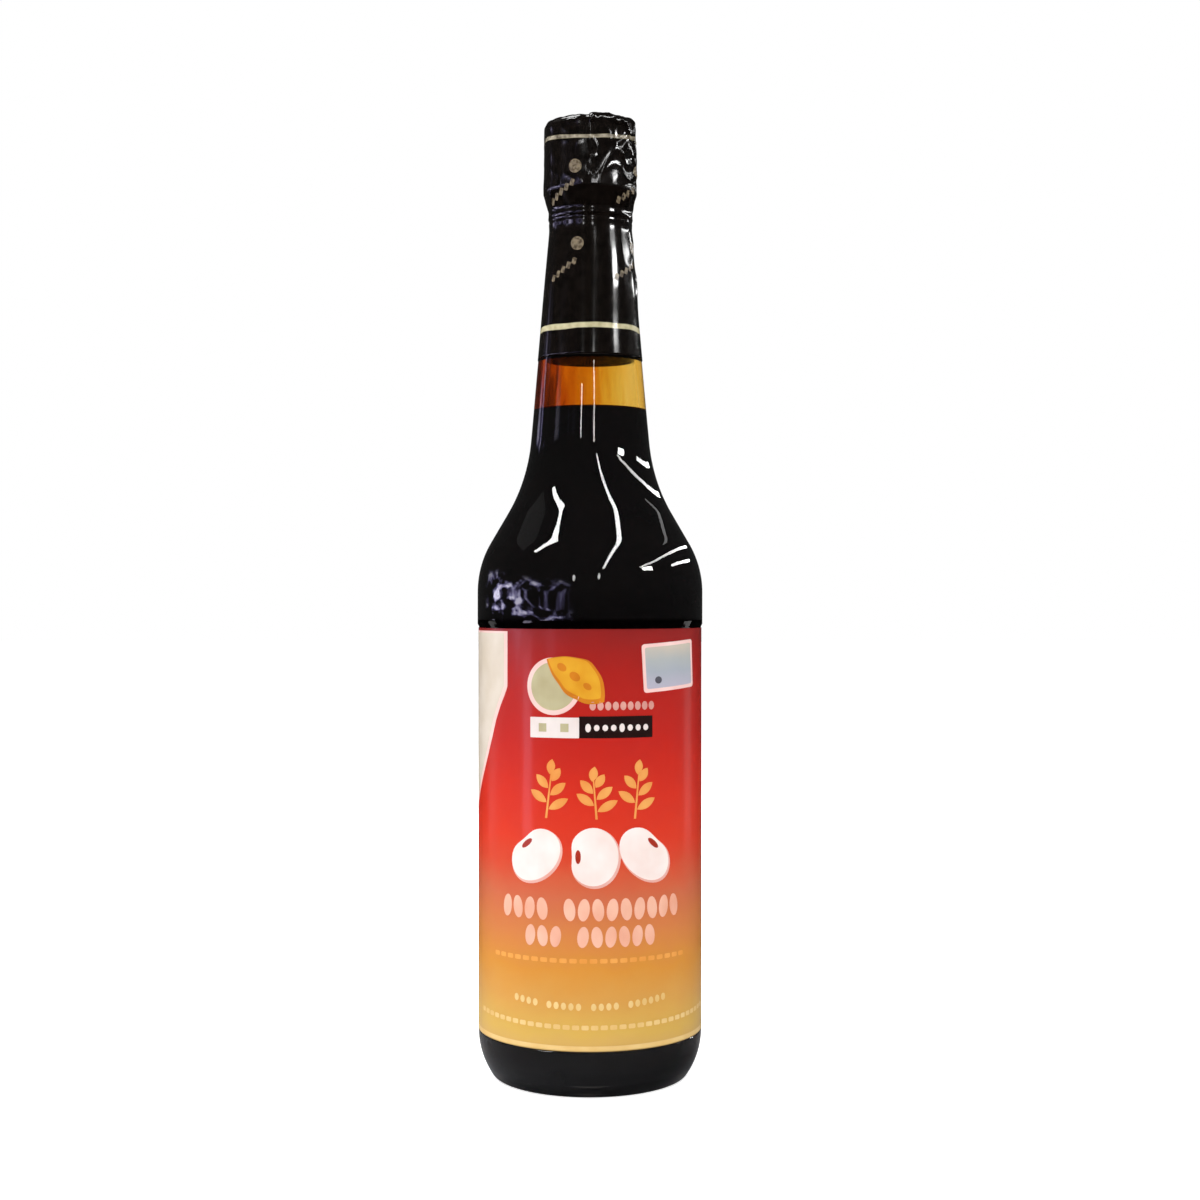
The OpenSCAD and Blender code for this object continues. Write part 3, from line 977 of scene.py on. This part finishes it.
# A dark room for the reflections, with bluish clutter low down on the left
x, y, z = (towards.outputs[axis] for axis in "XYZ")
low = add(world, "MapRange", {"Value": z, "From Min": -0.02, "From Max": 0.006, "To Max": 4.0})
high = add(world, "MapRange", {"Value": z, "From Min": 0.006, "From Max": 0.35, "To Max": 2.6})
upward = add(world, "Math", {0: low.outputs[0], 1: high.outputs[0]}, operation="ADD").outputs[0]
cell = add(world, "CombineXYZ", {0: x, 1: y, 2: upward}).outputs[0]
cell = add(world, "Mapping", {"Vector": cell, "Scale": (4.5, 4.5, 1)}).outputs[0]
clutter = add(world, "TexNoise", {"Vector": cell, "Scale": 1.0, "Detail": 2.0}).outputs[0]
clutter = add(world, "ValToRGB", {"Fac": clutter}, stops=[
    (0.49, "#000000"), (0.55, "#4A4664"), (0.6, "#908CB4"), (0.67, "#DCD8F0"),
]).outputs[0]
shown = 12.0
for value, start, end in ((x, -0.25, -0.6), (y, 0.7, 0.35), (z, 0.28, 0.08)):
    span = {"Value": value, "From Min": start, "From Max": end}
    limit = add(world, "MapRange", span, interpolation_type="SMOOTHSTEP").outputs[0]
    shown = add(world, "Math", {0: shown, 1: limit}, operation="MULTIPLY").outputs[0]
clutter = add(world, "Background", {"Color": clutter, "Strength": shown}).outputs[0]
dark_room = add(world, "Background", {"Color": "#FFFFFF", "Strength": 0.03}).outputs[0]
dark_room = add(world, "AddShader", {0: dark_room, 1: clutter}).outputs[0]
unseen = add(world, "MixShader", {0: rays.outputs["Is Glossy Ray"], 1: soft_fill, 2: dark_room}).outputs[0]
mixed = add(world, "MixShader", {0: direct, 1: unseen, 2: backdrop}).outputs[0]
add(world, "OutputWorld", {"Surface": mixed})


def lamp(name, at, width, length, brightness, facing=None, colour="#FFFFFF", turned=0, on_paper=True):
    """A rectangular lamp, seen only in reflections. It faces down, or towards a place.

    One with on_paper off shows on glass and film, and adds no light to matt faces.
    """
    data = bpy.data.lights.new(name, "AREA")
    data.shape = "RECTANGLE"
    data.size = width
    data.size_y = length
    data.energy = brightness * 4 * width * length
    data.color = linear(colour)[:3]
    light = bpy.data.objects.new(name, data)
    bpy.context.scene.collection.objects.link(light)
    light.location = at
    light.rotation_euler.z = math.radians(turned)
    if facing:
        light.rotation_euler = (Vector(facing) - Vector(at)).to_track_quat("-Z", "Y").to_euler()
    light.visible_camera = False
    light.visible_transmission = False
    light.visible_diffuse = on_paper


def beside(azimuth, elevation, distance, height=0.2):
    """A place in a direction from the bottle: degrees right of the camera, and up."""
    a, e = math.radians(azimuth), math.radians(elevation)
    return (
        distance * math.cos(e) * math.sin(a),
        -distance * math.cos(e) * math.cos(a),
        height + distance * math.sin(e),
    )


ceiling = 1.28
lamp("tube_middle", (0.56, -1.3, ceiling), 0.085, 1.9, 17)
lamp("tube_left", (-0.96, -0.44, ceiling), 0.7, 0.13, 18, turned=1)
lamp("tube_right", (2.0, 1.0, ceiling), 0.15, 4.8, 9, on_paper=False)
lamp("tube_right_dim", (1.49, 1.05, ceiling), 0.06, 1.2, 1.1)
lamp("tube_far_right", (3.0, 1.95, ceiling), 0.3, 2.9, 12, on_paper=False)
aim = (0, 0, 0.2)
lamp("window_right", beside(63, 21.1, 1.4), 0.27, 0.09, 34, aim)
lamp("lamp_front_left", beside(-17, 14.5, 1.5), 0.05, 0.14, 11, aim)
lamp("lamp_front_right", beside(9, 15.5, 1.5), 0.07, 0.16, 9, aim)
lamp("soft_left", beside(-100, 70, 1.6), 0.8, 0.8, 7, aim)
lamp("smoke_left", beside(-104, 46, 1.6), 0.7, 0.6, 0.1, aim)
lamp("low_left", beside(-64, 0, 0.5, 0.065), 0.085, 0.11, 2.6, (0, 0, 0.1), "#E8E0FF")
lamp("low_left_edge", beside(-116, 0, 0.5, 0.06), 0.12, 0.1, 0.4, (0, 0, 0.1))
lamp("low_right_edge", beside(116, 0, 0.5, 0.06), 0.12, 0.1, 0.6, (0, 0, 0.1))

camera_data = bpy.data.cameras.new("camera")
camera_data.sensor_width = 36
camera_data.lens = 54.2
camera = bpy.data.objects.new("camera", camera_data)
bpy.context.scene.collection.objects.link(camera)
camera.location = (0.0032, -1.908 * tall, 0.4983 * tall)
camera.rotation_euler = (math.radians(90), 0, 0)
bpy.context.scene.camera = camera

bpy.context.scene.view_settings.view_transform = "Standard"
bpy.context.scene.cycles.use_denoising = True
bpy.context.scene.cycles.max_bounces = 16
bpy.context.scene.cycles.transmission_bounces = 14
bpy.context.scene.cycles.transparent_max_bounces = 16
